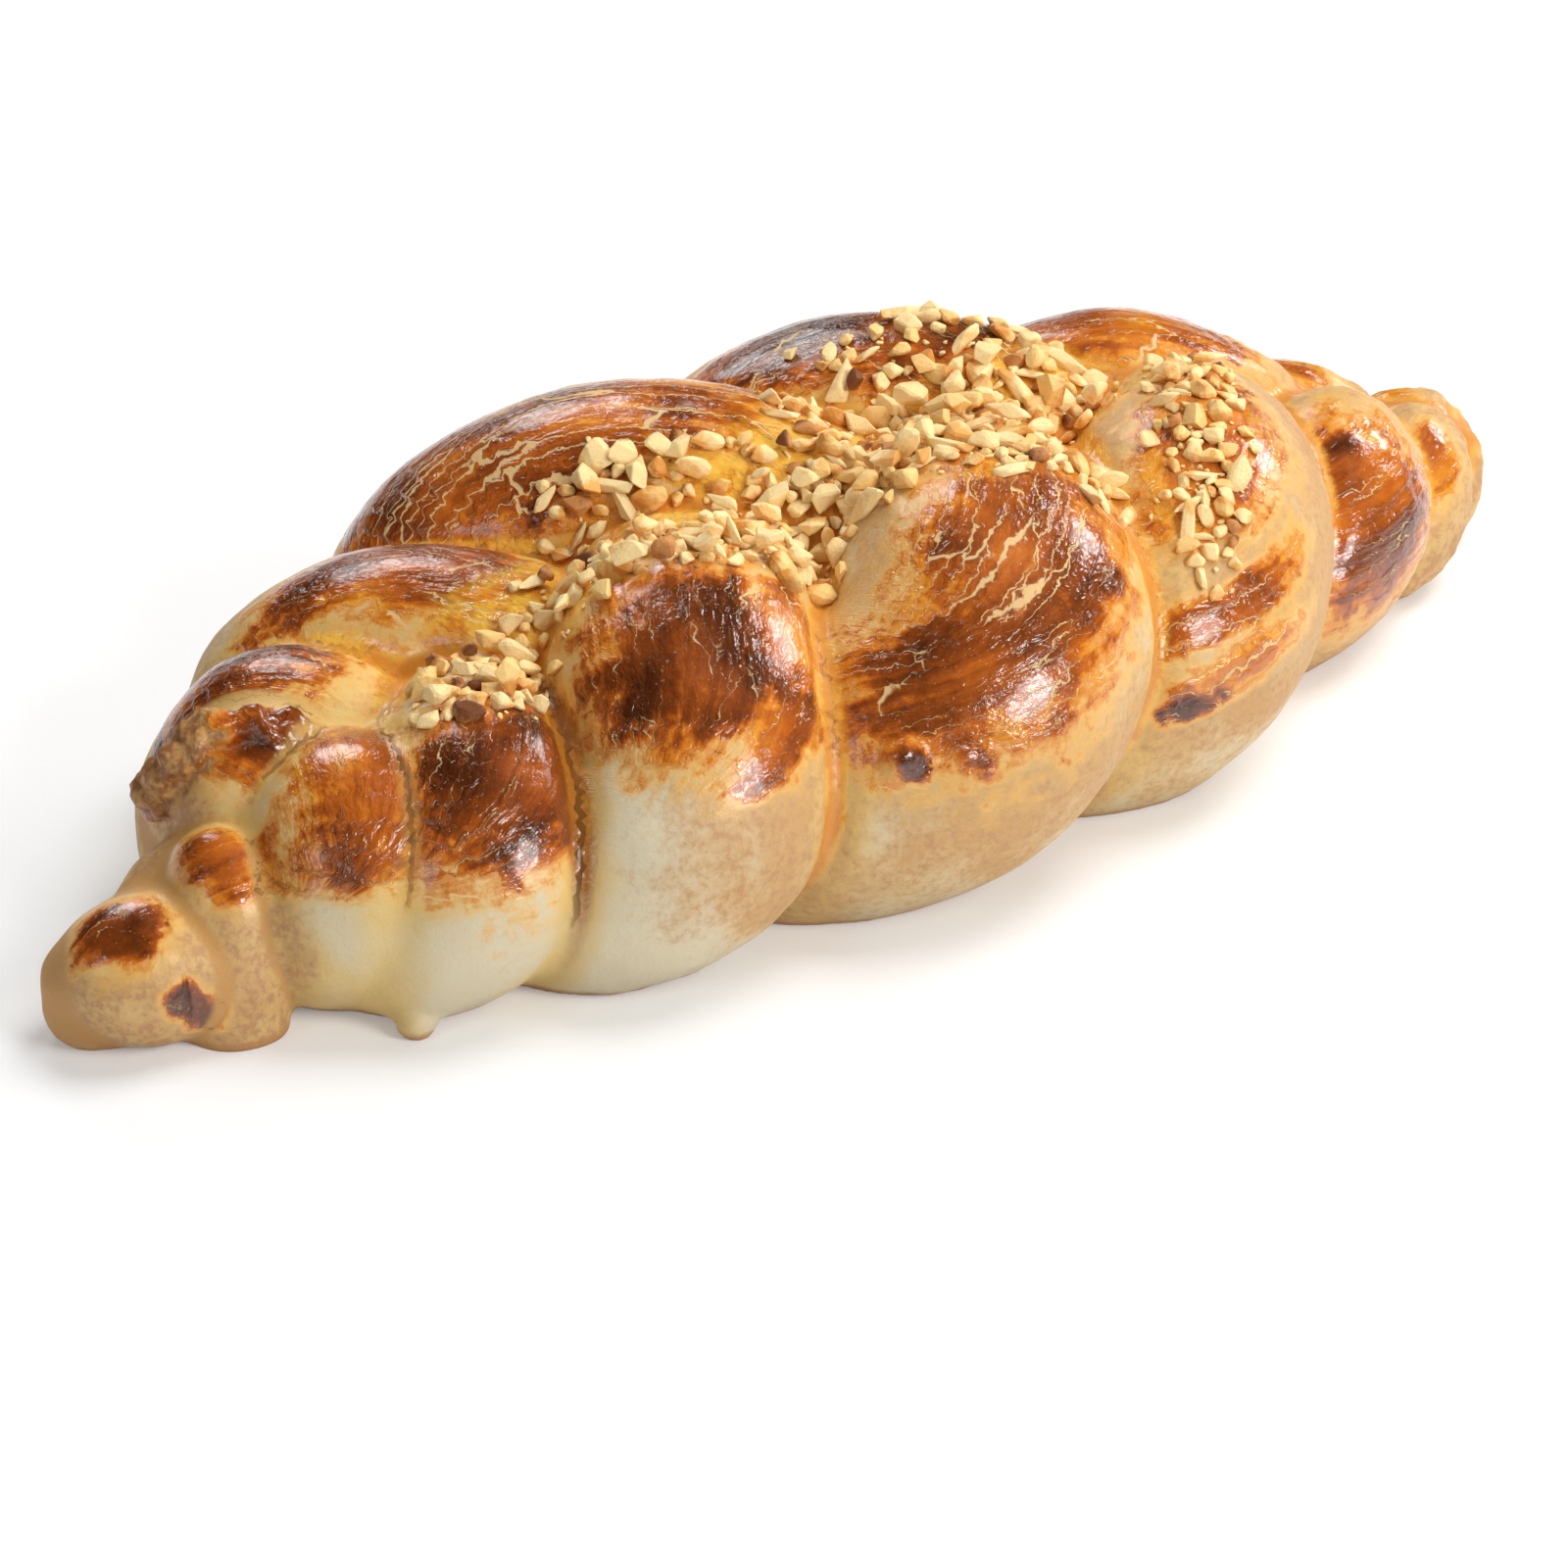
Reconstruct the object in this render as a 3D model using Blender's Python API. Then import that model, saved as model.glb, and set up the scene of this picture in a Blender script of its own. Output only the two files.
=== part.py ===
"""A three-strand braided loaf with tapered ends, a knotted front end and a flat underside.

The three strands follow one rule. Each swings from side to side once every three turns, rises
over the strand beside it as it leaves its outer bend, and dips under the next one before it comes
out on the other side. The loaf lies along X with its knotted end at -X, and stands on z = 0.
"""

import math

import bmesh
import bpy
from mathutils import Matrix, Vector

MM = 0.001

# The outer bends of the braid, from the knotted end, in millimetres. Even rows bend out to the -Y
# side and odd rows to the +Y side: distance from the knotted end, swing from the middle line, how
# far the middle line leans to -Y, strand radius, and lift off the underside.
TURNS = (
    (12, 0, -4, 9, 0),
    (25, 1, -5, 11, 0),
    (39, 6, -5, 13, 0),
    (51, 10, -7, 16, 0),
    (55, 17, -7, 20, 0),
    (60, 21, -7, 20, 0),
    (69, 27, -7, 21, 0),
    (82, 34, -10, 22, 0),
    (104, 39, -8, 24, 0),
    (125, 41, -12, 28, 0),
    (160, 44, -9, 30, 0),
    (187, 40, -8, 30, 0),
    (216, 36, -9, 29, 0),
    (243, 25, -11, 27, 0),
    (268, 20, -11, 23, 0),
    (283, 16, -11, 19, 0),
    (296, 12, -10, 16, 0),
    (308, 7, -9, 13, 2),
    (318, 2, -9, 11, 4),
)
STRANDS = 3
STEPS_PER_TURN = 10
FLATTEN = 0.92  # a strand's height as a share of its width
RISE = 0.28  # how far a strand climbs over its neighbour, as a share of its radius
SINK = 0.6  # how deep the strands settle into the flat underside
CORE = 0.72  # the solid middle of the braid, as a share of the strand's radius

NUB_CENTRE = (21.0, 0.0, 11.5)  # the rounded end beyond the knot
NUB_RADII = (17.0, 14.0, 12.5)
KNOT_X = 35.0  # the fold of dough wrapped over the end
KNOT_LEAN = 3.0
KNOT_HALF_WIDTH = 8.0
KNOT_HEIGHT = 22.5
KNOT_RADIUS = 9.0
KNOT_STEPS = 32

VOXEL = 1.8
SMOOTH_STEPS = 4
DECIMATE_RATIO = 0.1
CRUST_COLOUR = (0.42, 0.17, 0.045, 1.0)
CRUST_ROUGHNESS = 0.4


def turn_value(column, turn):
    """One column of TURNS between its rows, as a Catmull-Rom curve."""
    last = len(TURNS) - 1
    row = min(int(turn), last - 1)
    before, start, end, after = (TURNS[min(max(row + step, 0), last)][column] for step in (-1, 0, 1, 2))
    t = turn - row
    slope = end - before
    bend = 2 * before - 5 * start + 4 * end - after
    twist = 3 * (start - end) + after - before
    return 0.5 * (2 * start + slope * t + bend * t**2 + twist * t**3)


def braid_steps():
    count = (len(TURNS) - 1) * STEPS_PER_TURN
    return [step / STEPS_PER_TURN for step in range(count + 1)]


def strand_points(first):
    """(centre, radius) along the strand whose first outer bend is row `first`, in millimetres."""
    side = 1 if first % 2 == 0 else -1
    points = []
    for turn in braid_steps():
        x, swing, lean, radius, lift = (turn_value(column, turn) for column in range(5))
        phase = math.pi * (turn - first) / STRANDS
        out = lean + side * swing * math.cos(phase)
        up = FLATTEN * radius + RISE * radius * math.sin(2 * phase) + lift - SINK
        points.append((Vector((x, -out, up)), radius))
    return points


def core_points():
    points = []
    for turn in braid_steps():
        x, _, lean, radius, lift = (turn_value(column, turn) for column in range(5))
        points.append((Vector((x, -lean, FLATTEN * radius + lift - SINK)), CORE * radius))
    return points


def knot_points():
    """An arch over the end of the braid, from under one side to under the other."""
    points = []
    for step in range(KNOT_STEPS + 1):
        angle = math.pi * (1.15 * step / KNOT_STEPS - 0.075)
        x = KNOT_X - KNOT_LEAN * math.cos(angle)
        y = -KNOT_HALF_WIDTH * math.cos(angle)
        points.append((Vector((x, y, KNOT_HEIGHT * math.sin(angle))), KNOT_RADIUS))
    return points


def with_round_ends(points):
    """The same run of points with a half ball on each end."""
    caps = []
    for end, inner in ((points[0], points[1]), (points[-1], points[-2])):
        outward = (end[0] - inner[0]).normalized()
        cap = []
        for angle in (25, 45, 62, 76, 86):
            reach = end[1] * math.sin(math.radians(angle))
            cap.append((end[0] + outward * reach, end[1] * math.cos(math.radians(angle))))
        caps.append(cap)
    return caps[0][::-1] + points + caps[1]


def tube_mesh(name, points):
    """A closed round tube through the points, as a mesh in metres."""
    curve = bpy.data.curves.new(name, "CURVE")
    curve.dimensions = "3D"
    curve.bevel_depth = MM
    curve.bevel_resolution = 6
    curve.use_fill_caps = True
    spline = curve.splines.new("POLY")
    rounded = with_round_ends(points)
    spline.points.add(len(rounded) - 1)
    for point, (centre, radius) in zip(spline.points, rounded):
        point.co = (*(centre * MM), 1)
        point.radius = radius
    guide = bpy.data.objects.new(name, curve)
    bpy.context.scene.collection.objects.link(guide)
    mesh = bpy.data.meshes.new_from_object(guide.evaluated_get(bpy.context.evaluated_depsgraph_get()))
    bpy.data.objects.remove(guide)
    return mesh


def dough_mesh():
    """All the strands, the core, the knot and the nub as overlapping closed shapes in one mesh."""
    bm = bmesh.new()
    # A strand is flatter than round: it is swept taller and then squashed as a whole.
    stretch = Matrix.Scale(1 / FLATTEN, 4, (0, 0, 1))
    runs = [strand_points(first) for first in range(STRANDS)]
    runs.append(core_points())
    runs.append(knot_points())
    for run in runs:
        bm.from_mesh(tube_mesh("strand", [(stretch @ centre, radius) for centre, radius in run]))
    bmesh.ops.scale(bm, vec=(1, 1, FLATTEN), verts=bm.verts)
    nub = Matrix.Translation(Vector(NUB_CENTRE) * MM) @ Matrix.Diagonal((*NUB_RADII, 1))
    bmesh.ops.create_uvsphere(bm, u_segments=32, v_segments=20, radius=MM, matrix=nub)
    bmesh.ops.remove_doubles(bm, verts=bm.verts, dist=1e-6)
    bmesh.ops.recalc_face_normals(bm, faces=bm.faces)
    mesh = bpy.data.meshes.new("loaf")
    bm.to_mesh(mesh)
    bm.free()
    return mesh


def crust_material():
    material = bpy.data.materials.new("crust")
    material.use_nodes = True
    shader = material.node_tree.nodes["Principled BSDF"]
    shader.inputs["Base Color"].default_value = CRUST_COLOUR
    shader.inputs["Roughness"].default_value = CRUST_ROUGHNESS
    shader.inputs["Metallic"].default_value = 0.0
    return material


def underside_cutter():
    """A block whose top face is the plane z = 0, which cuts the loaf's flat underside."""
    bpy.ops.mesh.primitive_cube_add(size=1.0, location=(0.16, 0, -0.05))
    cutter = bpy.context.object
    cutter.name = "underside_cutter"
    cutter.dimensions = (0.5, 0.3, 0.1)
    bpy.ops.object.transform_apply(location=False, rotation=False, scale=True)
    cutter.hide_render = True
    cutter.display_type = "WIRE"
    return cutter


def build_loaf():
    mesh = dough_mesh()
    mesh.materials.append(crust_material())
    loaf = bpy.data.objects.new("loaf", mesh)
    bpy.context.scene.collection.objects.link(loaf)

    union = loaf.modifiers.new("union", "REMESH")
    union.mode = "VOXEL"
    union.voxel_size = VOXEL * MM
    union.use_smooth_shade = True
    soften = loaf.modifiers.new("soften", "SMOOTH")
    soften.factor = 0.5
    soften.iterations = SMOOTH_STEPS
    coarsen = loaf.modifiers.new("coarsen", "DECIMATE")
    coarsen.ratio = DECIMATE_RATIO
    flatten = loaf.modifiers.new("flatten", "BOOLEAN")
    flatten.operation = "DIFFERENCE"
    flatten.solver = "EXACT"
    flatten.object = underside_cutter()
    return loaf


def centre_on_origin(loaf):
    """Moves the loaf and its cutter so that the origin is under the middle of its box."""
    bpy.context.view_layer.update()
    evaluated = loaf.evaluated_get(bpy.context.evaluated_depsgraph_get())
    corners = [Vector(corner) for corner in evaluated.bound_box]
    low = Vector([min(corner[axis] for corner in corners) for axis in range(3)])
    high = Vector([max(corner[axis] for corner in corners) for axis in range(3)])
    middle = (low + high) / 2
    for thing in (loaf, bpy.data.objects["underside_cutter"]):
        thing.location -= Vector((middle.x, middle.y, 0))


for old in list(bpy.data.objects):
    bpy.data.objects.remove(old)
centre_on_origin(build_loaf())
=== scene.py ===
import math
import random

import bmesh
import bpy
import numpy as np
from mathutils import Matrix, Vector, noise
from mathutils.bvhtree import BVHTree


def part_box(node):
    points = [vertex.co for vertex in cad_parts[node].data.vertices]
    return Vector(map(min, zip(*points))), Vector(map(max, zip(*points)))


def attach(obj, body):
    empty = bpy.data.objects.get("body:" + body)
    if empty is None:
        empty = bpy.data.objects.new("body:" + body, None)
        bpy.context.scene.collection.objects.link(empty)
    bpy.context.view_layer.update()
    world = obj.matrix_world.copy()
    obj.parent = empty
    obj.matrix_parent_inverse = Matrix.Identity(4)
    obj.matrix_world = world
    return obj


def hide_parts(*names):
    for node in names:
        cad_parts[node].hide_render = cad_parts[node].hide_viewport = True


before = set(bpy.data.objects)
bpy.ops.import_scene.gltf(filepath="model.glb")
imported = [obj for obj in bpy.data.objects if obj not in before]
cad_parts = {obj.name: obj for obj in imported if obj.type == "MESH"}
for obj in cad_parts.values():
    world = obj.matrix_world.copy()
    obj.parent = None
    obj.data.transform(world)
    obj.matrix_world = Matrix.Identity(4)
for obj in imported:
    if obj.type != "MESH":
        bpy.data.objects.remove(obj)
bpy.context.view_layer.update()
loafLow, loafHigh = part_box("loaf")
mm = 0.001


# Shader maths: a wire wraps a socket, and an expression on wires adds Math nodes

class Wire:
    def __init__(self, shade, socket):
        self.shade = shade
        self.socket = socket

    def maths(self, operation, first, second):
        return self.shade.node("ShaderNodeMath", {"operation": operation}, {0: first, 1: second})

    def __add__(self, other):
        return self.maths("ADD", self, other)

    def __radd__(self, other):
        return self.maths("ADD", other, self)

    def __sub__(self, other):
        return self.maths("SUBTRACT", self, other)

    def __rsub__(self, other):
        return self.maths("SUBTRACT", other, self)

    def __mul__(self, other):
        return self.maths("MULTIPLY", self, other)

    def __rmul__(self, other):
        return self.maths("MULTIPLY", other, self)

    def most(self, other):
        return self.maths("MAXIMUM", self, other)

    def least(self, other):
        return self.maths("MINIMUM", self, other)

    def step(self, low, high):  # 0 below low, 1 above high
        values = {"Value": self, "From Min": low, "From Max": high, "To Min": 0.0, "To Max": 1.0}
        return self.shade.node("ShaderNodeMapRange", {"interpolation_type": "SMOOTHSTEP"}, values)


class Shade:
    def __init__(self, owner, shader="Principled BSDF"):  # owner is a material or the world
        self.owner = owner
        self.owner.use_nodes = True
        self.tree = self.owner.node_tree
        self.shader = self.tree.nodes[shader]

    def node(self, kind, settings, values, output=0):
        made = self.tree.nodes.new(kind)
        for key, value in settings.items():
            if key == "stops":
                ramp = made.color_ramp
                while len(ramp.elements) < len(value):
                    ramp.elements.new(0.5)
                for element, (place, colour) in zip(ramp.elements, value):
                    element.position = place
                    element.color = (*colour, 1.0)
            else:
                setattr(made, key, value)
        for key, value in values.items():
            self.plug(made.inputs[key], value)
        return Wire(self, made.outputs[output])

    def plug(self, socket, value):
        if isinstance(value, Wire):
            self.tree.links.new(value.socket, socket)
        elif isinstance(value, tuple) and len(value) == 3 and socket.type == "RGBA":
            socket.default_value = (*value, 1.0)
        else:
            socket.default_value = value

    def finish(self, **inputs):
        for key, value in inputs.items():
            self.plug(self.shader.inputs[key.replace("_", " ")], value)
        return self.owner

    def attribute(self, name):
        return self.node("ShaderNodeAttribute", {"attribute_name": name}, {}, "Fac")

    def place(self):  # object coordinates in millimetres
        spot = self.node("ShaderNodeTexCoord", {}, {}, "Object")
        return self.node("ShaderNodeVectorMath", {"operation": "SCALE"}, {0: spot, "Scale": 1 / mm})

    def vector(self, x, y):
        return self.node("ShaderNodeCombineXYZ", {}, {"X": x, "Y": y})

    def cloud(self, vector, size, detail=3.0, rough=0.5, distort=0.0):  # noise with blobs about size mm wide
        values = {"Vector": vector, "Scale": 1 / size, "Detail": detail, "Roughness": rough, "Distortion": distort}
        return self.node("ShaderNodeTexNoise", {}, values, "Fac")

    def dots(self, vector, size):  # distance to scattered points
        values = {"Vector": vector, "Scale": 1 / size, "Randomness": 1.0}
        return self.node("ShaderNodeTexVoronoi", {"feature": "F1"}, values, "Distance")

    def mix(self, share, first, second):
        return self.node("ShaderNodeMix", {"data_type": "RGBA"}, {0: share, 6: first, 7: second}, 2)

    def ramp(self, value, stops):
        return self.node("ShaderNodeValToRGB", {"stops": stops}, {"Fac": value})

    def bump(self, height):  # height in millimetres
        return self.node("ShaderNodeBump", {}, {"Height": height, "Distance": mm})

    def rays(self, *kinds):  # 1 for rays of these kinds
        seen = 0.0
        for kind in kinds:
            seen = self.node("ShaderNodeLightPath", {}, {}, kind).most(seen)
        return seen


def srgb(red, green, blue):  # a screen colour, 0 to 255, as a linear one
    shares = [value / 255 for value in (red, green, blue)]
    return tuple(s / 12.92 if s <= 0.04045 else ((s + 0.055) / 1.055) ** 2.4 for s in shares)


# The braid: three strands that swing from side to side, in millimetres from the knotted end

braid = {
    # outer bends, even rows to -Y, odd rows to +Y: distance along, swing, lean of the middle line, radius, lift
    "turns": [
        (12, 0, -4, 9, 0), (25, 1, -5, 11, 0), (39, 6, -5, 13, 0), (51, 10, -7, 16, 0), (55, 17, -7, 20, 0),
        (60, 21, -7, 20, 0), (69, 27, -7, 21, 0), (82, 34, -10, 22, 0), (104, 39, -8, 24, 0),
        (125, 41, -12, 28, 0), (160, 44, -9, 30, 0), (187, 40, -8, 30, 0), (216, 36, -9, 29, 0),
        (243, 25, -11, 27, 0), (268, 20, -11, 23, 0), (283, 16, -11, 19, 0), (296, 12, -10, 16, 0),
        (308, 7, -9, 13, 2), (318, 2, -9, 11, 4),
    ],
    "strands": 3,
    "steps": 14,  # samples for each bend
    "sides": 36,
    "flatten": 0.92,
    "rise": 0.28,
    "sink": 0.6,
    "core": 0.72,
    "voxel": 1.15,
    "smooth": 5,
}

ends = {
    "nubCentre": (21.0, 0.0, 11.5),
    "nubRadii": (17.0, 14.0, 12.5),
    "knotX": 35.0,
    "knotLean": 3.0,
    "knotHalfWidth": 8.0,
    "knotHeight": 22.5,
    "knotRadius": 9.0,
    # the torn flap of crust across the third bend, and the drip of dough at the foot of the near side
    "flap": [(37.5, 22, 28), (38, 20, 33), (40.5, 17.5, 38), (45, 15, 41), (50.5, 12, 41.5), (55.5, 9, 40)],
    "flapRadius": 4.4,
    "drip": (53.5, -29.0, 1.8),
    "dripRadii": (3.4, 3.2, 2.8),
    # dough that runs on under the first two near bends, and between the knot and the nub
    "base": (61.0, -9.0, 9.5),
    "baseRadii": (17.0, 26.0, 13.5),
    "neck": (27.0, -3.0, 10.0),
    "neckRadii": (12.0, 12.0, 11.0),
    "burnt": (136.3, -53.6, 34.5),
    "burntRadii": (4.0, 3.0, 3.6),
}


def bendValues(column, turns):  # Catmull-Rom through one column of the bends
    rows = np.array(braid["turns"], float)[:, column]
    last = len(rows) - 1
    row = np.clip(turns.astype(int), 0, last - 1)
    before, start, end, after = (rows[np.clip(row + step, 0, last)] for step in (-1, 0, 1, 2))
    t = turns - row
    return 0.5 * (2 * start + (end - before) * t + (2 * before - 5 * start + 4 * end - after) * t**2
                  + (3 * (start - end) + after - before) * t**3)


def braidLine(first=None):  # a strand's centres and radii, or the core's when first is None
    count = (len(braid["turns"]) - 1) * braid["steps"] + 1
    turns = np.linspace(0, len(braid["turns"]) - 1, count)
    x, swing, lean, radius, lift = (bendValues(column, turns) for column in range(5))
    height = braid["flatten"] * radius + lift - braid["sink"]
    if first is None:
        return turns, np.stack([x, -lean, height], 1), radius * braid["core"]
    side = 1 if first % 2 == 0 else -1
    phase = math.pi * (turns - first) / braid["strands"]
    out = lean + side * swing * np.cos(phase)
    return turns, np.stack([x, -out, height + braid["rise"] * radius * np.sin(2 * phase)], 1), radius


def knotLine():
    angle = np.linspace(-0.075 * math.pi, 1.075 * math.pi, 50)
    x = ends["knotX"] - ends["knotLean"] * np.cos(angle)
    line = np.stack([x, -ends["knotHalfWidth"] * np.cos(angle), ends["knotHeight"] * np.sin(angle)], 1)
    return line, np.full(50, ends["knotRadius"])


def smoothLine(points, count):  # a list of points as an evenly sampled curve
    points = np.array(points, float)
    at = np.linspace(0, len(points) - 1, count)
    coarse = np.stack([np.interp(at, np.arange(len(points)), points[:, axis]) for axis in range(3)], 1)
    for _ in range(6):
        coarse[1:-1] = (coarse[:-2] + 2 * coarse[1:-1] + coarse[2:]) / 4
    return coarse


def tube(line, radius, flatten=1.0, across=(0.0, 0.0, 1.0)):  # a closed tube with round ends: points and faces
    sides = braid["sides"]
    caps = np.radians([25, 45, 62, 76, 86])
    head = line[0] + np.outer(radius[0] * np.sin(caps), (line[0] - line[1]) / np.linalg.norm(line[0] - line[1]))
    tail = line[-1] + np.outer(radius[-1] * np.sin(caps), (line[-1] - line[-2]) / np.linalg.norm(line[-1] - line[-2]))
    line = np.concatenate([head[::-1], line, tail])
    radius = np.concatenate([radius[0] * np.cos(caps)[::-1], radius, radius[-1] * np.cos(caps)])
    tangent = np.gradient(line, axis=0)
    tangent /= np.linalg.norm(tangent, axis=1)[:, None]
    side = np.cross(tangent, np.array(across))
    side /= np.linalg.norm(side, axis=1)[:, None]
    up = np.cross(side, tangent)
    angle = np.linspace(0, 2 * math.pi, sides, endpoint=False)
    ring = np.cos(angle)[None, :, None] * side[:, None] + flatten * np.sin(angle)[None, :, None] * up[:, None]
    points = (line[:, None] + radius[:, None, None] * ring).reshape(-1, 3)
    faces = []
    for row in range(len(line) - 1):
        for corner in range(sides):
            a, b = row * sides + corner, row * sides + (corner + 1) % sides
            faces.append((a, b, b + sides, a + sides))
    faces.append(tuple(range(sides))[::-1])
    faces.append(tuple((len(line) - 1) * sides + corner for corner in range(sides)))
    return points, faces


def ball(centre, radii):  # an ellipsoid as points and faces
    shape = bmesh.new()
    place = Matrix.Translation(centre) @ Matrix.Diagonal((*radii, 1))
    bmesh.ops.create_uvsphere(shape, u_segments=28, v_segments=18, radius=1.0, matrix=place)
    points = np.array([vert.co for vert in shape.verts])
    faces = [tuple(vert.index for vert in face.verts) for face in shape.faces]
    shape.free()
    return points, faces


def newObject(name, points, faces):
    mesh = bpy.data.meshes.new(name)
    mesh.from_pydata(np.asarray(points).tolist(), [], faces)
    mesh.update()
    made = bpy.data.objects.new(name, mesh)
    bpy.context.scene.collection.objects.link(made)
    return made


def meshPoints(mesh):
    flat = np.empty(len(mesh.vertices) * 3)
    mesh.vertices.foreach_get("co", flat)
    return flat.reshape(-1, 3)


def meshNormals(mesh):
    flat = np.empty(len(mesh.vertices) * 3)
    mesh.vertices.foreach_get("normal", flat)
    return flat.reshape(-1, 3)


def setAttribute(mesh, name, values):
    attribute = mesh.attributes.new(name, "FLOAT", "POINT")
    attribute.data.foreach_set("value", np.asarray(values, np.float32))


def smoothShare(values, low, high):
    share = np.clip((values - low) / (high - low), 0, 1)
    return share * share * (3 - 2 * share)


def lumps(points, size, seed):  # smooth noise from -1 to 1 with lumps about size mm wide
    offset = Vector((seed * 13.7, seed * 7.3, seed * 3.1))
    return np.array([noise.noise(Vector(point) / size + offset) for point in points.tolist()])


relief = {
    "groove": (5.0, 1.5),  # half width and depth of the creases between strands
    "lump": (22.0, 0.9),  # width and height, in mm, of the dough's lumps
    "dimple": (7.0, 0.22),
    "pucker": (2.6, 0.07),
    "pimple": (2.6, 0.55),  # at the thin end
    "torn": (3.6, 1.8),  # the flap of crust
    "ragged": (4.0, 1.0),  # torn foot of the near side
}


def shapeLoaf():  # the whole loaf as one fine mesh, in millimetres from the knotted end
    shapes = []
    for first in range(braid["strands"]):
        _, line, radius = braidLine(first)
        shapes.append(tube(line, radius, braid["flatten"]))
    _, line, radius = braidLine()
    shapes.append(tube(line, radius, braid["flatten"]))
    line, radius = knotLine()
    shapes.append(tube(line, radius, 1.0, (1.0, 0.0, 0.0)))
    line = smoothLine(ends["flap"], 30)
    shapes.append(tube(line, np.full(30, ends["flapRadius"]) * np.linspace(1.0, 0.7, 30), 0.8))
    shapes.append(ball(ends["nubCentre"], ends["nubRadii"]))
    for key in ("drip", "base", "neck", "burnt"):
        shapes.append(ball(ends[key], ends[key + "Radii"]))
    points, faces, count = [], [], 0
    for shapePoints, shapeFaces in shapes:
        points.append(shapePoints)
        faces += [tuple(index + count for index in face) for face in shapeFaces]
        count += len(shapePoints)
    loaf = newObject("loafCrust", np.concatenate(points), faces)
    remesh = loaf.modifiers.new("union", "REMESH")
    remesh.mode = "VOXEL"
    remesh.voxel_size = braid["voxel"]
    soften = loaf.modifiers.new("soften", "SMOOTH")
    soften.factor = 0.5
    soften.iterations = braid["smooth"]
    graph = bpy.context.evaluated_depsgraph_get()
    mesh = bpy.data.meshes.new_from_object(loaf.evaluated_get(graph))
    loaf.modifiers.clear()
    loaf.data = mesh
    return loaf


def relaxed(mesh, values, steps):  # a field averaged with its neighbours along the edges
    pairs = np.empty(len(mesh.edges) * 2, np.int32)
    mesh.edges.foreach_get("vertices", pairs)
    pairs = pairs.reshape(-1, 2)
    here, there = np.concatenate([pairs, pairs[:, ::-1]]).T
    count = np.bincount(here, minlength=len(values))
    for _ in range(steps):
        values = (values + np.bincount(here, values[there], len(values)) / count) / 2
    return values


def roughenLoaf(loaf, crease):
    points, normals = meshPoints(loaf.data), meshNormals(loaf.data)
    loose = 0.8 * smoothShare(-crease, -4, -0.5)  # evens out the bottoms of the creases
    soft = np.stack([relaxed(loaf.data, points[:, axis], 8) for axis in range(3)], 1)
    points += (soft - points) * loose[:, None]
    width, deep = relief["groove"]
    deep = deep * (0.1 + 0.9 * smoothShare(points[:, 0], 66, 88))
    rise = relaxed(loaf.data, -deep * smoothShare(-crease, -width, 0), 6)
    for seed, key in enumerate(("lump", "dimple", "pucker")):
        size, height = relief[key]
        rise += height * lumps(points, size, seed + 1)
    size, height = relief["pimple"]
    rise += smoothShare(points[:, 0], 255, 290) * height * lumps(points, size, 7)
    size, height = relief["ragged"]
    foot = np.clip(1 - points[:, 2] / 7, 0, 1) * np.clip(1 - np.abs(points[:, 0] - 95) / 16, 0, 1)
    rise += foot * height * lumps(points, size, 9)
    line = smoothLine(ends["flap"], 30)
    gap = np.linalg.norm(points[:, None] - line[None, ::2], axis=2).min(1) - ends["flapRadius"]
    size, height = relief["torn"]
    torn = smoothShare(-gap, -2.5, -0.5)
    rise += torn * height * (lumps(points, size, 5) + 0.6 * lumps(points, size / 2, 6))
    setAttribute(loaf.data, "torn", torn)
    points = points + normals * rise[:, None]
    points[:, 2] = np.maximum(points[:, 2], 0.0)
    loaf.data.vertices.foreach_set("co", points.ravel())
    loaf.data.update()


def braidPlaces(points):  # for each strand: gap to its surface, bend number, distance along, angle from its top
    found = []
    stretch = np.array([1, 1, 1 / braid["flatten"]])
    for first in range(braid["strands"]):
        turns, line, radius = braidLine(first)
        steps = np.linalg.norm(np.diff(line, axis=0), axis=1)
        along = np.concatenate([[0], np.cumsum(steps)])
        tangent = np.gradient(line, axis=0)
        tangent /= np.linalg.norm(tangent, axis=1)[:, None]
        nearest, gap = np.empty(len(points), int), np.empty(len(points))
        for start in range(0, len(points), 5000):
            away = (points[start:start + 5000, None] - line[None]) * stretch
            room = np.linalg.norm(away, axis=2) - radius
            pick = room.argmin(1)
            nearest[start:start + 5000] = pick
            gap[start:start + 5000] = room[np.arange(len(pick)), pick]
        away = points - line[nearest]
        ahead = (away * tangent[nearest]).sum(1)
        turnRate = np.gradient(turns, along)
        side = np.cross(tangent, (0, 0, 1))
        side /= np.linalg.norm(side, axis=1)[:, None]
        out = (away * side[nearest]).sum(1)
        up = away[:, 2] * stretch[2]
        found.append({
            "gap": gap,
            "turn": turns[nearest] + ahead * turnRate[nearest],
            "along": along[nearest] + ahead,
            "angle": np.degrees(np.arctan2(out, up)),
            "radius": radius[nearest],
        })
    return found


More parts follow.
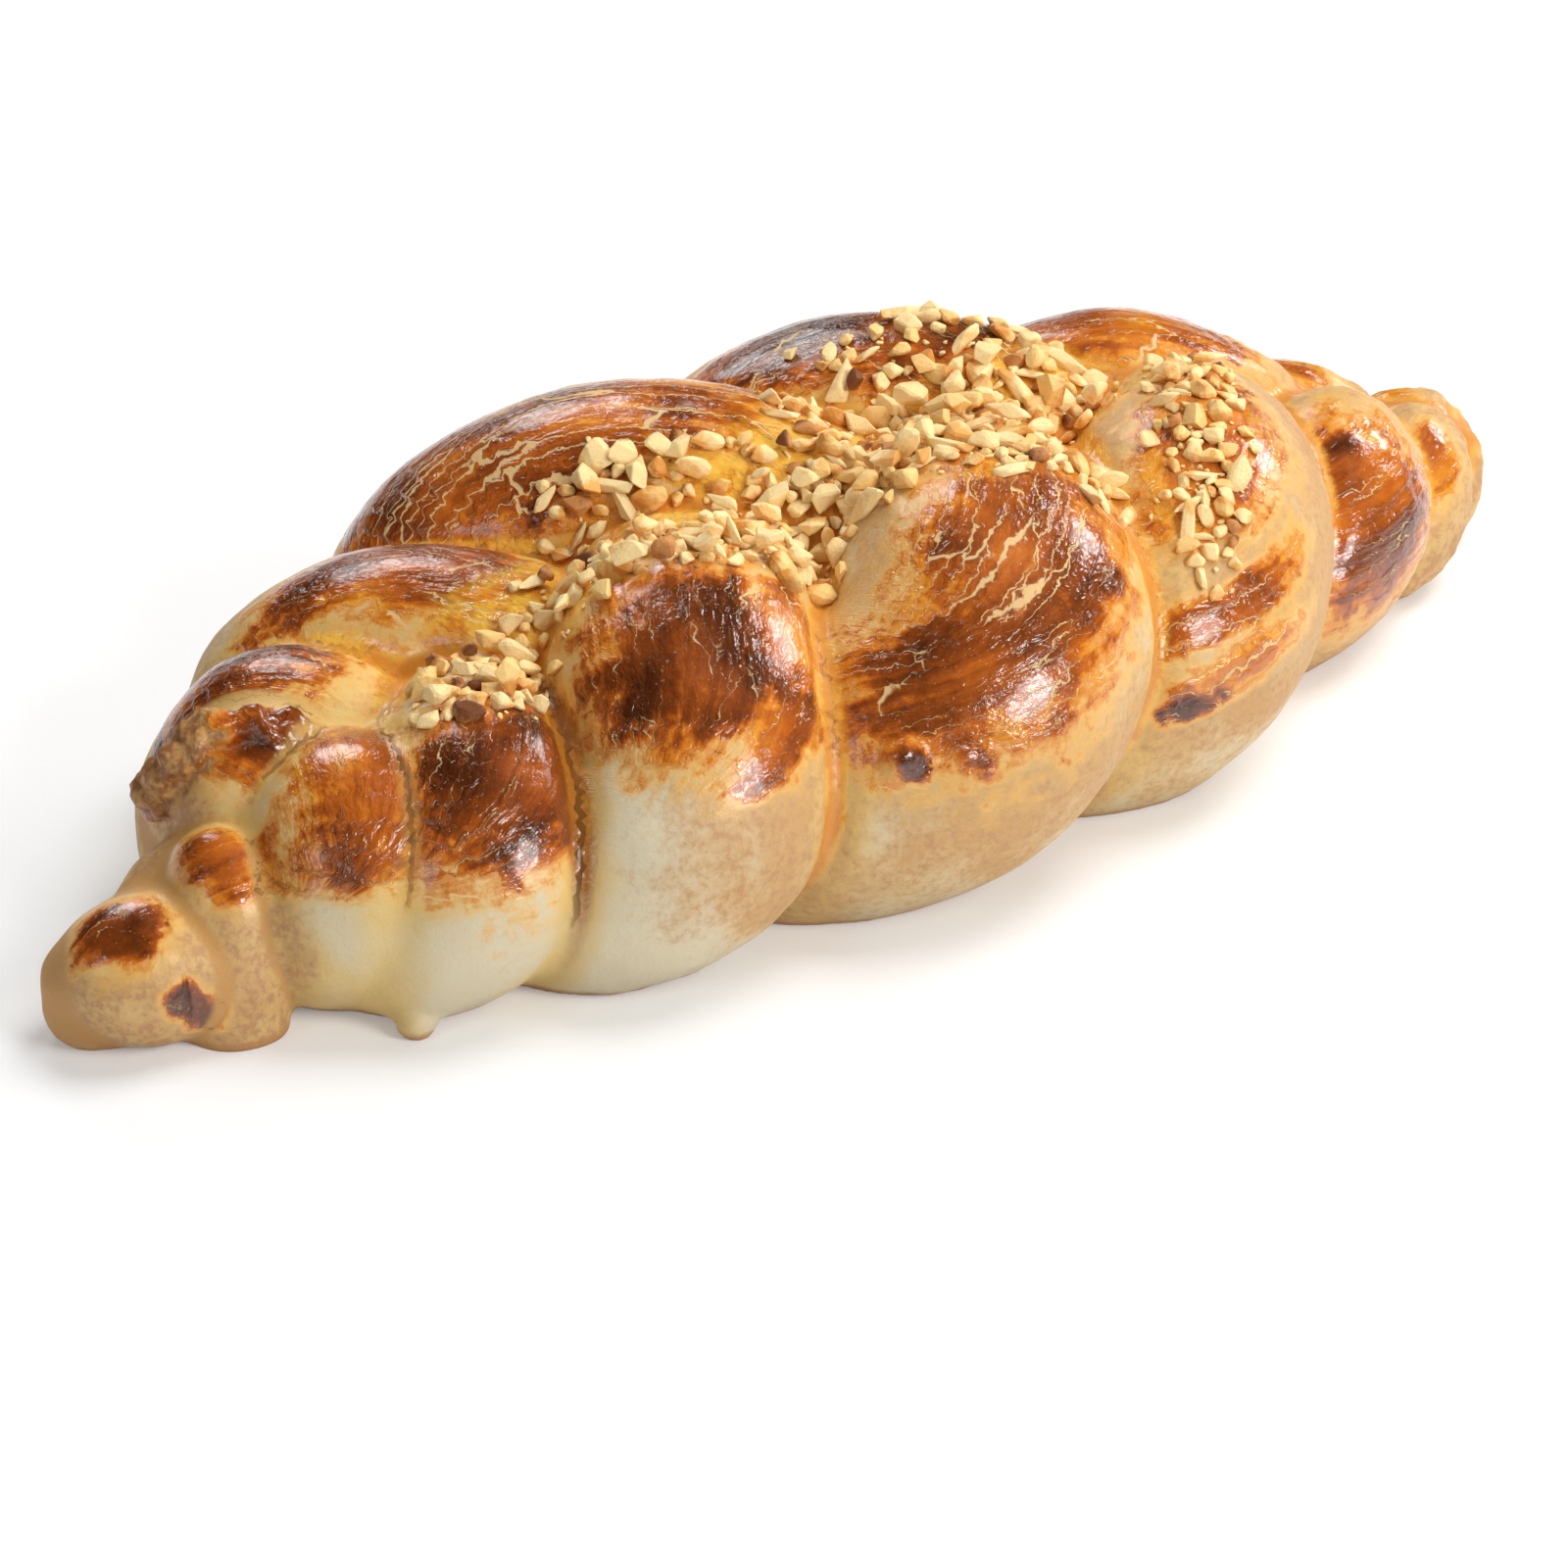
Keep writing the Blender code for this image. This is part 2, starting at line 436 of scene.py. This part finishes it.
# Brushed patches of egg glaze: bend, centre along the strand in bends after its outer bend, centre round the
# strand in degrees from its top outwards, half length in bends, half width in degrees, depth of browning, cracks.
glazePatches = [
    (2, 0.2, 10, 0.5, 50, 0.6, 0.3), (3, 1.0, -15, 0.4, 32, 0.6, 0.1), (4, 0.62, 12, 0.6, 50, 0.5, 0.15),
    (5, 0.5, 5, 0.45, 40, 0.7, 0.2), (5, 0.2, 45, 0.3, 14, 1.0, 0.1), (6, 0.45, 24, 0.55, 52, 0.78, 0.25),
    (7, 0.7, -5, 0.65, 34, 0.66, 0.5), (8, 0.5, 0, 0.42, 48, 0.84, 0.15), (8, 0.68, 36, 0.24, 20, 0.15, 0.6),
    (8, 0.3, 48, 0.24, 14, 0.5, 0.3), (9, 0.3, 2, 0.85, 60, 0.54, 1.3), (10, 0.02, 40, 0.42, 36, 0.7, 0.35),
    (10, 0.42, 18, 0.46, 42, 0.5, 0.8), (11, 0.55, 8, 0.6, 46, 0.72, 0.5), (12, 0.4, 12, 0.42, 26, 0.3, 0.5),
    (12, -0.1, 58, 0.3, 9, 0.4, 0.8), (12, -0.28, 84, 0.1, 5, 1.0, 0.2), (12, -0.12, 78, 0.2, 7, 0.35, 0.8),
    (13, 0.5, 12, 0.55, 42, 0.4, 0.5), (14, 0.02, 44, 0.62, 58, 0.5, 0.3), (14, 0.28, 24, 0.18, 14, 1.0, 0.0),
    (15, 0.4, 0, 0.5, 30, 0.2, 0.4), (16, 0.2, 34, 0.4, 30, 0.15, 0.3), (17, 0.3, 10, 0.4, 30, 0.15, 0.3),
]

# Patches off the strands: centre and radii in mm, and depth.
glazeSpots = [
    ((13, -3, 23), (9, 8, 7), 0.85), ((22, -15, 8), (3.6, 4, 3.6), 0.7), ((19, -13, 11.5), (3.4, 4, 3.2), 0.7),
    ((33, -5, 30), (7, 9, 7), 0.65), ((136.3, -56.5, 34.5), (3.6, 3, 3.4), 1.0), ((38, 23, 27), (4, 4, 4), 0.9),
]


def surveyLoaf(points):  # which strand owns each point, how far the crease is, and where it lies on its strand
    places = braidPlaces(points)
    line, radius = knotLine()
    knotGap = np.linalg.norm(points[:, None] - line[None, ::3], axis=2).min(1) - ends["knotRadius"]
    reach = (points - np.array(ends["nubCentre"])) / np.array(ends["nubRadii"])
    nubGap = (np.linalg.norm(reach, axis=1) - 1) * 13
    gaps = np.stack([place["gap"] for place in places] + [knotGap, nubGap], 1)
    owner = gaps.argmin(1)
    ordered = np.sort(gaps, axis=1)
    rows = np.arange(len(points))
    strand = np.minimum(owner, braid["strands"] - 1)
    found = {"places": places, "owner": owner, "crease": np.clip(ordered[:, 1] - ordered[:, 0], 0, 30)}
    for key in ("along", "angle", "radius"):
        found[key] = np.stack([place[key] for place in places], 1)[rows, strand]
    return found


def paintLoaf(loaf, survey):  # what the crust's material reads at each point
    points, normals = meshPoints(loaf.data), meshNormals(loaf.data)
    places, owner, crease = survey["places"], survey["owner"], survey["crease"]
    along, angle, radius = survey["along"], survey["angle"], survey["radius"]
    glaze = np.full(len(points), -1.0)
    depth, crackle, weight = (np.full(len(points), start) for start in (0.05, 0.03, 0.1))
    for bend, turn, centre, halfTurn, halfAngle, brown, cracked in glazePatches:
        place = places[bend % braid["strands"]]
        side = 1 if bend % 2 == 0 else -1
        reach = np.hypot((place["turn"] - bend - turn) / halfTurn, (place["angle"] * side - centre) / halfAngle)
        value = np.where(owner == bend % braid["strands"], 1 - reach, -1.0)
        glaze = np.maximum(glaze, value)
        share = np.clip(value + 0.5, 0, None) ** 5
        depth += share * brown
        crackle += share * cracked
        weight += share
    for centre, radii, brown in glazeSpots:
        value = 1 - np.linalg.norm((points - np.array(centre)) / np.array(radii), axis=1)
        glaze = np.maximum(glaze, value)
        share = 4 * np.clip(value + 0.5, 0, None) ** 5
        depth += share * brown
        weight += share
    turns = np.interp(points[:, 0], [row[0] for row in braid["turns"]], np.arange(len(braid["turns"])))
    middle = -bendValues(2, turns)
    top = smoothShare(normals[:, 2], 0.0, 0.6) * smoothShare(points[:, 2], 18, 34)
    valley = smoothShare(-np.abs(points[:, 1] - middle), -22, -6) * smoothShare(points[:, 0], 70, 100)
    pool = top * np.maximum(0.75 * valley, smoothShare(-crease, -7, -1))
    pool *= smoothShare(-np.abs(points[:, 1] - middle), -36, -20)
    drip = 0.8 * smoothShare(-crease, -4, -0.4) * smoothShare(points[:, 2], 2, 20) * smoothShare(points[:, 0], 76, 88)
    pool *= smoothShare(points[:, 0], 56, 84) * smoothShare(-points[:, 0], -262, -230)
    tips = smoothShare(-points[:, 0], -44, -36) + 0.5 * smoothShare(points[:, 0], 235, 270)
    tone = tips + 0.75 * smoothShare(points[:, 0], 80, 110) + 0.6 * smoothShare(points[:, 1], -5, 25)
    setAttribute(loaf.data, "tone", np.clip(tone, 0, 1))
    setAttribute(loaf.data, "glaze", relaxed(loaf.data, glaze, 3))
    setAttribute(loaf.data, "depth", depth / weight)
    setAttribute(loaf.data, "crackle", crackle / weight)
    setAttribute(loaf.data, "crease", crease)
    setAttribute(loaf.data, "along", along + 400.0 * owner)
    setAttribute(loaf.data, "around", np.radians(angle) * radius)
    trickle = smoothShare(-np.abs(points[:, 0] - 88), -12, -8) * (points[:, 1] < 0)  # runs down to the foot
    setAttribute(loaf.data, "trickle", trickle * smoothShare(-crease, -3.4, -1.2))
    setAttribute(loaf.data, "pool", np.maximum(pool, drip))
    setAttribute(loaf.data, "facing", normals[:, 2])
    setAttribute(loaf.data, "height", points[:, 2])


crust = {
    "cream": srgb(218, 205, 173),
    "yellow": srgb(224, 188, 108),
    "tan": srgb(198, 146, 78),
    "toast": srgb(176, 110, 50),
    "foot": srgb(188, 134, 76),
    "bark": srgb(140, 84, 40),
    "gold": srgb(234, 182, 90),
    "amber": srgb(218, 136, 38),
    "pool": srgb(246, 190, 70),
    "syrup": srgb(150, 84, 18),
    "glazeStops": [
        (0.0, srgb(232, 160, 56)), (0.22, srgb(214, 128, 38)), (0.45, srgb(184, 94, 28)),
        (0.7, srgb(138, 66, 20)), (1.0, srgb(82, 38, 14)),
    ],
    "crack": srgb(232, 194, 132),
    "pore": srgb(214, 150, 92),
}


def crustMaterial():
    shade = Shade(bpy.data.materials.new("bakedCrust"))
    glaze, depth = shade.attribute("glaze"), shade.attribute("depth")
    crease, pool = shade.attribute("crease"), shade.attribute("pool")
    facing, height = shade.attribute("facing"), shade.attribute("height")
    tone, crackle = shade.attribute("tone"), shade.attribute("crackle")
    trickle, torn = shade.attribute("trickle"), shade.attribute("torn")
    along, around = shade.attribute("along"), shade.attribute("around")
    place = shade.place()
    broad = shade.cloud(place, 16, 3)
    middling = shade.cloud(place, 5.5, 4, 0.6, 0.3)
    fine = shade.cloud(place, 1.5, 3, 0.6)
    grain = shade.cloud(place, 0.45, 2, 0.6)
    strokes = shade.cloud(shade.vector(along * 0.16, around), 3.2, 4, 0.6, 0.4)

    # pale dough low down and beside the creases, golden tan where a strand bulges
    bulge = crease.step(2.0, 16.0) * height.step(4.0, 22.0)
    patchy = (broad - 0.5) * 1.2 + (middling - 0.5) * 0.8 + (fine - 0.5) * 0.7
    tanned = (bulge * 0.45 + tone * 0.75 - 0.2 + patchy).step(0.0, 0.9)
    yellowed = (crease.step(10.0, 1.0) * 0.6 + tone * 0.55 + (broad - 0.5)).step(0.1, 0.7)
    dough = shade.mix(yellowed, crust["cream"], crust["yellow"])
    dough = shade.mix(tanned, dough, crust["tan"])
    dough = shade.mix(tanned * (fine + grain * 0.6).step(0.74, 1.0) * 0.6, dough, crust["toast"])
    browned = tone.step(0.85, 1.0) * (middling + fine).step(0.9, 1.15)
    dough = shade.mix(browned * 0.55, dough, crust["toast"])
    dough = shade.mix((grain * 0.6 + fine * 0.4).step(0.3, 0.55) * 0.18, dough, crust["cream"])
    dough = shade.mix(height.step(2.2, 0.4) * 0.9, dough, crust["foot"])

    # glaze: golden where thin, then a sharp-edged brown patch that darkens inwards
    edge = (middling - 0.5) * 1.4 + (fine - 0.5) * 0.22 + (strokes - 0.5) * 0.7 + (broad - 0.5) * 0.6
    cover = glaze + edge
    halo = cover.step(-0.6, 0.0)
    patch = cover.step(0.0, 0.05)
    brown = depth + (broad - 0.5) * 1.5 + (strokes - 0.5) * 0.8 + (fine - 0.5) * 0.25
    brown = brown + cover.step(0.0, 0.4) * 0.4 - 0.36
    glazed = shade.ramp(brown, crust["glazeStops"])
    gilded = shade.mix((cover + (fine - 0.5) * 0.15).step(-0.22, 0.0), crust["gold"], crust["amber"])
    bubbles = shade.dots(place, 0.9).step(0.24, 0.12) * patch
    glazed = shade.mix(bubbles * (fine.step(0.45, 0.6)) * 0.4, glazed, crust["pore"])

    # stretch cracks that run with the strand
    # painted crease shade: a mask for the bottoms of the creases, where a dough colour stands in for their shade
    paintedSeamShade = crease.step(2.1, 0.8) * (tone.step(0.0, 0.4) * 0.75 + 0.25)
    bent = around + (middling - 0.5) * 5.0 + (fine - 0.5) * 1.2
    cells = shade.vector(along * 0.17 + (broad - 0.5) * 5.0, bent)
    split = shade.node("ShaderNodeTexVoronoi", {"feature": "DISTANCE_TO_EDGE"}, {"Vector": cells, "Scale": 1 / 5.2})
    width = (shade.cloud(place, 11, 2) + crackle * 0.34).step(0.46, 0.86) * (fine * 0.8 + 0.6) * 0.04
    width = width.least(crackle * 0.025 + 0.012)
    cracks = ((width - split) * 60.0).step(0.0, 1.0) * facing.step(-0.3, 0.1) * (1 - paintedSeamShade)

    colour = shade.mix(halo * 0.9, dough, gilded)
    colour = shade.mix(patch, colour, glazed)
    pooled = shade.mix(middling.step(0.45, 0.62), crust["pool"], crust["amber"])
    colour = shade.mix((pool + (fine + middling - 1.0) * 0.6).step(0.2, 0.7) * 0.85, colour, pooled)
    colour = shade.mix(cracks * patch.most(halo) * 0.85, colour, crust["crack"])
    # painted shade in the crease bottoms: tan or yellow dough colour, with the pooled glaze's own amber where glaze
    # pools
    colour = shade.mix(paintedSeamShade, colour, shade.mix(pool, shade.mix(tone, crust["yellow"], crust["tan"]), crust["amber"]))
    colour = shade.mix(trickle * 0.9, colour, crust["syrup"])
    rough = torn * (1 - patch)
    colour = shade.mix(rough * 0.9, colour, shade.mix((fine + middling).step(0.85, 1.15), crust["tan"], crust["bark"]))

    shiny = patch.most(pool.step(0.3, 0.7)).most(halo * 0.5).most(trickle) * (1 - cracks * 0.8) * (1 - paintedSeamShade * 0.7)
    roughness = 0.6 - shiny * 0.42 + (fine - 0.5) * 0.12
    wrinkles = shade.cloud(shade.vector(along * 0.6, around), 2.0, 2, 0.5, 0.4)
    relief = (grain - 0.5) * 0.05 + (fine - 0.5) * 0.14 - cracks * patch * 0.2 + patch * 0.1
    relief = relief + (wrinkles - 0.5) * (broad.step(0.35, 0.6) * 0.5 + 0.4) * shiny * (1 - paintedSeamShade)
    return shade.finish(
        Base_Color=colour, Roughness=roughness, Coat_Weight=shiny * 0.45, Coat_Roughness=0.13, Specular_IOR_Level=0.7,
        Normal=shade.bump(relief), Subsurface_Weight=0.12, Subsurface_Radius=(1.0, 0.5, 0.25),
        Subsurface_Scale=0.002,
    )


loaf = shapeLoaf()
survey = surveyLoaf(meshPoints(loaf.data))
survey["crease"] = relaxed(loaf.data, survey["crease"], 4)
roughenLoaf(loaf, survey["crease"])
paintLoaf(loaf, survey)
loaf.data.materials.clear()
loaf.data.materials.append(crustMaterial())
loaf.data.shade_smooth()
print("loaf crust:", len(loaf.data.vertices), "points")


# Chopped nuts, scattered over the middle of the braid before it moves to its place

nuts = {
    # groups: one end and the other in mm, half width, how many
    "groups": [
        ((77, -8), (97, 2), 11, 56), ((108, 8), (146, -12), 9, 90), ((128, 31), (150, 18), 7, 36),
        ((153, 1), (190, 1), 13, 170), ((172, 22), (186, 26), 7, 24), ((190, 16), (224, 10), 12, 100),
        ((184, -16), (204, -26), 8, 40), ((186, 38), (228, 30), 7, 22), ((247, 2), (222, -30), 9, 56),
        ((221, -32), (209, -47), 7, 28),
    ],
    "sizes": (1.6, 3.8),  # smallest and largest half length
    "kinds": {  # share of the whole, and how long, wide and high a chip is against its size
        "nutsPale": (0.5, (1.0, 0.78, 0.6)),
        "nutsToasted": (0.34, (1.0, 0.75, 0.62)),
        "nutsDark": (0.05, (0.9, 0.75, 0.65)),
        "nutSlivers": (0.11, (1.5, 0.5, 0.42)),
    },
    "crumbs": 320,
    "crumbSizes": (0.4, 0.9),
    "shapes": 14,  # different chips of each kind
    "corners": (10, 14),
    "shake": 0.26,
    "bevel": 0.13,
    "spacing": 0.62,
    "tries": 14,
    "seed": 11,
}


def hullOf(spots):  # the closed skin stretched over some points
    shape = bmesh.new()
    for spot in spots:
        shape.verts.new(spot)
    hull = bmesh.ops.convex_hull(shape, input=shape.verts)
    loose = {item for item in hull["geom_interior"] + hull["geom_unused"] if isinstance(item, bmesh.types.BMVert)}
    bmesh.ops.delete(shape, geom=list(loose), context="VERTS")
    return shape


def chipShape(dice, stretch):  # a broken wedge of nut: flat faces with worn edges
    count = dice.randint(*nuts["corners"])
    spots = []
    for corner in range(count):  # spread evenly over a ball, then shaken
        height = 1 - 2 * (corner + 0.5) / count
        spin = corner * 2.4
        flat = math.sqrt(1 - height * height)
        spot = Vector((flat * math.cos(spin), flat * math.sin(spin), height))
        spot += Vector([dice.gauss(0, nuts["shake"]) for _ in range(3)])
        spots.append([spot[axis] * stretch[axis] for axis in range(3)])
    rough = hullOf(spots)
    bmesh.ops.bevel(rough, geom=rough.edges[:], offset=nuts["bevel"], segments=1, affect="EDGES", profile=0.5,
                    clamp_overlap=True)
    bmesh.ops.remove_doubles(rough, verts=rough.verts, dist=0.03)
    shape = hullOf([vert.co.copy() for vert in rough.verts])
    rough.free()
    shape.verts.index_update()
    points = np.array([vert.co for vert in shape.verts])
    faces = [tuple(vert.index for vert in face.verts) for face in shape.faces]
    shape.free()
    return points, faces


def dropChips(surface, shapes, dice):  # chips of each kind, laid on the surface group by group
    kinds = list(nuts["kinds"])
    shares = [nuts["kinds"][kind][0] for kind in kinds]
    heaps = {kind: [] for kind in kinds}
    taken = []
    jobs = []
    for start, end, half, count in nuts["groups"]:
        jobs += [(start, end, half, False)] * count
        jobs += [(start, end, half * 1.2, True)] * int(nuts["crumbs"] * count / 600)
    for start, end, half, crumb in jobs:
        for attempt in range(nuts["tries"]):
            share = dice.random()
            reach = Vector((dice.gauss(0, 0.42), dice.gauss(0, 0.42))) * half
            spot = Vector(start).lerp(Vector(end), share) + reach
            small, large = nuts["sizes"]
            size = dice.uniform(*nuts["crumbSizes"]) if crumb else small + (large - small) * dice.random() ** 1.5
            hit, normal, _, _ = surface.ray_cast(Vector((spot.x, spot.y, 100)), Vector((0, 0, -1)))
            if hit is None or normal.z < 0.35:
                continue
            centre = hit + normal * size * 0.3
            near = touching(centre, size, taken, nuts["spacing"])
            if near and not crumb and half > 8.5 and attempt > 5 and near < 3:  # a second layer where nuts lie thick
                centre = centre + Vector((0, 0, size * 0.85))
                near = touching(centre, size, taken, nuts["spacing"] * 0.9)
            if near:
                continue
            taken.append((centre, size))
            kind = dice.choices(kinds, shares)[0]
            spin = Matrix.Rotation(dice.uniform(0, 2 * math.pi), 3, "Z")
            lie = Vector((0, 0, 1)).rotation_difference(normal).to_matrix()
            tip = Matrix.Rotation(math.radians(dice.gauss(0, 20)), 3, "X")
            turned = np.array(lie @ tip @ spin) * size
            flat, faces = dice.choice(shapes[kind])
            heaps[kind].append((flat @ turned.T + np.array(centre), faces, flat))
            break
    return heaps


def touching(centre, size, taken, spacing):  # how many chips are already too near
    return sum((other - centre).length < spacing * (size + otherSize) for other, otherSize in taken)


def heapPiece(kind, heap, dice):  # one mesh of all the chips of a kind, each with its own toasted side
    points, faces, toast, count = [], [], [], 0
    for chipPoints, chipFaces, flat in heap:
        points.append(chipPoints)
        faces += [tuple(index + count for index in face) for face in chipFaces]
        count += len(chipPoints)
        skin = np.array([dice.gauss(0, 1) for _ in range(3)])
        skin /= np.linalg.norm(skin)
        toast.append(flat @ skin + dice.uniform(-0.45, 0.35))
    piece = newObject(kind, np.concatenate(points), faces)
    setAttribute(piece.data, "toast", np.concatenate(toast))
    print(kind, len(heap), "chips", len(faces), "triangles")
    return piece


def scatterNuts(loaf):
    dice = random.Random(nuts["seed"])
    faces = [tuple(face.vertices) for face in loaf.data.polygons]
    surface = BVHTree.FromPolygons([Vector(point) for point in meshPoints(loaf.data).tolist()], faces)
    shapes = {kind: [chipShape(dice, stretch) for _ in range(nuts["shapes"])]
              for kind, (_, stretch) in nuts["kinds"].items()}
    heaps = dropChips(surface, shapes, dice)
    return [heapPiece(kind, heap, dice) for kind, heap in heaps.items()]


nutColours = {
    "nutsPale": (srgb(250, 220, 158), srgb(232, 172, 90), 0.05),
    "nutsToasted": (srgb(244, 204, 130), srgb(212, 142, 62), -0.1),
    "nutsDark": (srgb(200, 136, 74), srgb(120, 66, 28), -0.3),
    "nutSlivers": (srgb(250, 222, 162), srgb(232, 176, 98), 0.1),
}


def nutMaterial(kind):
    pale, brown, shift = nutColours[kind]
    shade = Shade(bpy.data.materials.new(kind))
    place = shade.place()
    toast = shade.attribute("toast")
    patchy, fine = shade.cloud(place, 2.2, 3, 0.6), shade.cloud(place, 0.5, 2, 0.6)
    skin = (toast - shift + (patchy - 0.5) * 1.4).step(0.1, 0.75)
    colour = shade.mix(skin, pale, brown)
    colour = shade.mix((fine + patchy).step(1.05, 1.3) * 0.35, colour, brown)
    return shade.finish(
        Base_Color=colour, Roughness=0.5 + (fine - 0.5) * 0.3,
        Normal=shade.bump((fine - 0.5) * 0.12 + (patchy - 0.5) * 0.15),
        Subsurface_Weight=0.12, Subsurface_Radius=(1.0, 0.6, 0.35), Subsurface_Scale=0.0015,
    )


nutPieces = scatterNuts(loaf)
for piece in nutPieces:
    piece.data.materials.append(nutMaterial(piece.name))


# Into the frame: metres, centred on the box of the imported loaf

def seatPieces(pieces):
    points = meshPoints(pieces[0].data)
    middle = (points.min(0) + points.max(0)) / 2 * mm
    seat = (loafLow + loafHigh) / 2 - Vector(middle)
    seat.z = 0.0
    for piece in pieces:
        piece.data.transform(Matrix.Translation(seat) @ Matrix.Scale(mm, 4))
        piece.data.update()


seatPieces([loaf] + nutPieces)
for piece in [loaf] + nutPieces:
    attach(piece, "root")
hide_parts("loaf")


# Floor, light and camera.

stage = {
    "floor": 4.0,
    "floorColour": (0.8, 0.8, 0.8),
    "floorLift": (0.2, 0.2, 0.2),  # keeps the floor white in view without more light on the loaf
    "ambient": 0.2,
    # softboxes: direction from the loaf, distance, width, watts, and whether the glaze mirrors it
    "boxes": {
        "keyBox": ((0.2, -0.82, 0.5), 1.3, 0.5, 9.5, True),
        "sideBox": ((0.85, 0.12, 0.5), 1.4, 0.4, 4.5, True),
        "topBox": ((0.5, 0.0, 1.0), 1.5, 1.0, 15.0, False),
        "rimBox": ((0.3, 0.9, 0.6), 1.5, 0.6, 4.0, True),
        "frontBox": ((-0.9, -0.1, 0.5), 1.6, 0.5, 2.4, True),
    },
}

shot = {
    "aim": (-0.0124, -0.0068, 0.0),  # metres
    "azimuth": -37.77,
    "elevation": 29.0,
    "distance": 0.944,
    "lens": 121.5,
    "sensor": 36.0,
}


def buildFloor():
    half = stage["floor"] / 2
    corners = [(-half, -half, 0), (half, -half, 0), (half, half, 0), (-half, half, 0)]
    floor = newObject("floor", corners, [(0, 1, 2, 3)])
    shade = Shade(bpy.data.materials.new("paleFloor"))
    seen = shade.rays("Is Camera Ray", "Is Glossy Ray", "Is Transmission Ray")
    floor.data.materials.append(shade.finish(
        Base_Color=stage["floorColour"], Roughness=0.9,
        Emission_Color=shade.mix(seen, (0.0, 0.0, 0.0), stage["floorLift"]), Emission_Strength=1.0,
    ))


def buildWorld():
    world = bpy.data.worlds.new("studio")
    bpy.context.scene.world = world
    world.cycles_visibility.glossy = False  # a white world mirrored in the glaze would turn the browns grey
    shade = Shade(world, "Background")
    white = shade.rays("Is Camera Ray", "Is Transmission Ray")
    shade.finish(Color=(1.0, 1.0, 1.0), Strength=white * (1 - stage["ambient"]) + stage["ambient"])


def buildLights():
    for name, (direction, distance, width, watts, mirrored) in stage["boxes"].items():
        light = bpy.data.lights.new(name, "AREA")
        light.shape = "DISK"
        light.size = width
        light.energy = watts
        lamp = bpy.data.objects.new(name, light)
        lamp.location = Vector(direction).normalized() * distance
        lamp.rotation_euler = lamp.location.to_track_quat("Z", "Y").to_euler()
        lamp.visible_glossy = mirrored
        bpy.context.scene.collection.objects.link(lamp)


def buildCamera():
    camera = bpy.data.objects.new("camera", bpy.data.cameras.new("camera"))
    bpy.context.scene.collection.objects.link(camera)
    camera.data.sensor_width = shot["sensor"]
    camera.data.lens = shot["lens"]
    azimuth, elevation = math.radians(shot["azimuth"]), math.radians(shot["elevation"])
    level = math.cos(elevation)
    back = Vector((math.sin(azimuth) * level, -math.cos(azimuth) * level, math.sin(elevation)))
    camera.location = Vector(shot["aim"]) + back * shot["distance"]
    camera.rotation_euler = back.to_track_quat("Z", "Y").to_euler()
    bpy.context.scene.camera = camera


buildFloor()
buildWorld()
buildLights()
buildCamera()
bpy.context.scene.view_settings.view_transform = "Standard"
print("stage ready")
